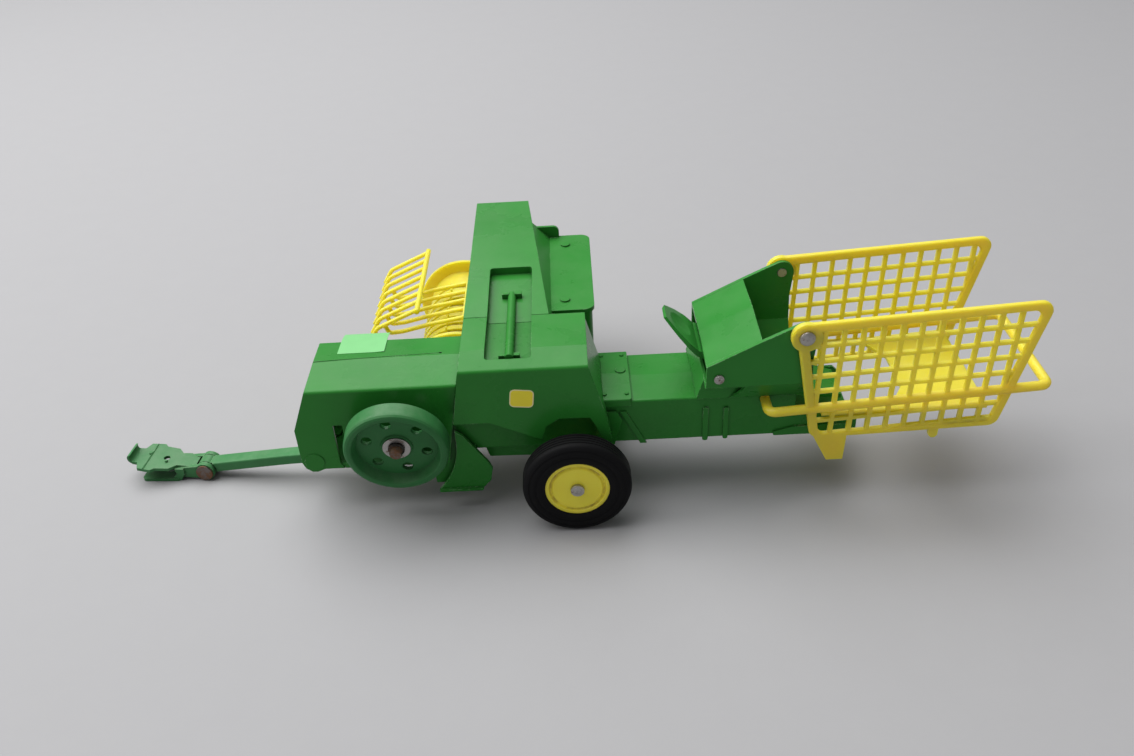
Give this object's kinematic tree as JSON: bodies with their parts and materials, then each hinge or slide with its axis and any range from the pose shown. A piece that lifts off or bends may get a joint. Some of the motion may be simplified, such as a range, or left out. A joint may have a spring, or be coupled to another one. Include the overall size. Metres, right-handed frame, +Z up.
{
  "type": "toy square baler",
  "caption": "Die-cast toy hay baler with bale chamber, side pickup, flywheel, hitch, spinning wheels, kick lever and a yellow bale basket at the rear.",
  "frame": {"origin": "centre of the whole toy's box in plan, on the floor it stands on", "axes": "+X to the rear (the hitch points to -X), +Y to the machine's right, the pickup side, +Z up"},
  "size_m": [0.4161, 0.164, 0.0973],
  "materials": {
    "green_paint": "gloss",
    "yellow_plastic": "semi-gloss",
    "plated_steel": "satin",
    "tire_rubber": "matte"
  },
  "bodies": {
    "machine": {"axle": "plated_steel", "axle_frame": "green_paint", "bale_chamber": "green_paint", "basket": "yellow_plastic", "basket_rivet_left": "plated_steel", "basket_rivet_right": "plated_steel", "cover_rod": "green_paint", "ejector_housing": "green_paint", "feeder_housing": "green_paint", "flywheel_guard": "green_paint", "flywheel_pin": "plated_steel", "front_hood": "green_paint", "lever_pin": "plated_steel", "main_cover": "green_paint", "pickup_cage": "yellow_plastic", "pickup_shaft": "plated_steel", "strap_plate": "green_paint", "tongue_pin": "plated_steel", "windguard": "yellow_plastic"},
    "wheel_left": {"wheel_left_tire": "tire_rubber", "wheel_left_rim": "yellow_plastic"},
    "wheel_right": {"wheel_right_tire": "tire_rubber", "wheel_right_rim": "yellow_plastic"},
    "flywheel": {"flywheel": "green_paint"},
    "tongue": {"tongue": "green_paint", "hitch_pin": "plated_steel"},
    "hitch": {"hitch_head": "green_paint"},
    "lever": {"kick_lever": "green_paint"},
    "reel": {"pickup_reel": "yellow_plastic"}
  },
  "joints": [
    {"name": "wheel_left_spin", "type": "hinge", "parent": "machine", "child": "wheel_left", "pos_m": [0.0068, -0.07405, 0.0235], "axis": [0, 1, 0], "continuous": true},
    {"name": "wheel_right_spin", "type": "hinge", "parent": "machine", "child": "wheel_right", "pos_m": [0.0068, -0.01105, 0.0235], "axis": [0, 1, 0], "continuous": true},
    {"name": "flywheel_spin", "type": "hinge", "parent": "machine", "child": "flywheel", "pos_m": [-0.0694, -0.06944, 0.0427], "axis": [0, 0.9903, 0.1392], "continuous": true},
    {"name": "reel_spin", "type": "hinge", "parent": "machine", "child": "reel", "pos_m": [-0.0499, 0.04295, 0.026], "axis": [0, 1, 0], "continuous": true},
    {"name": "tongue_swing", "type": "hinge", "parent": "machine", "child": "tongue", "pos_m": [-0.1039, -0.03555, 0.016], "axis": [0, 0, 1], "range_deg": [-8.5, 21.5]},
    {"name": "hitch_pitch", "type": "hinge", "parent": "tongue", "child": "hitch", "pos_m": [-0.17047, -0.02797, 0.0048], "axis": [0.1132, 0.9936, 0], "range_deg": [0, 25]},
    {"name": "lever_kick", "type": "hinge", "parent": "machine", "child": "lever", "pos_m": [0.068, -0.03805, 0.0664], "axis": [0, 1, 0], "range_deg": [-25, 0]}
  ]
}
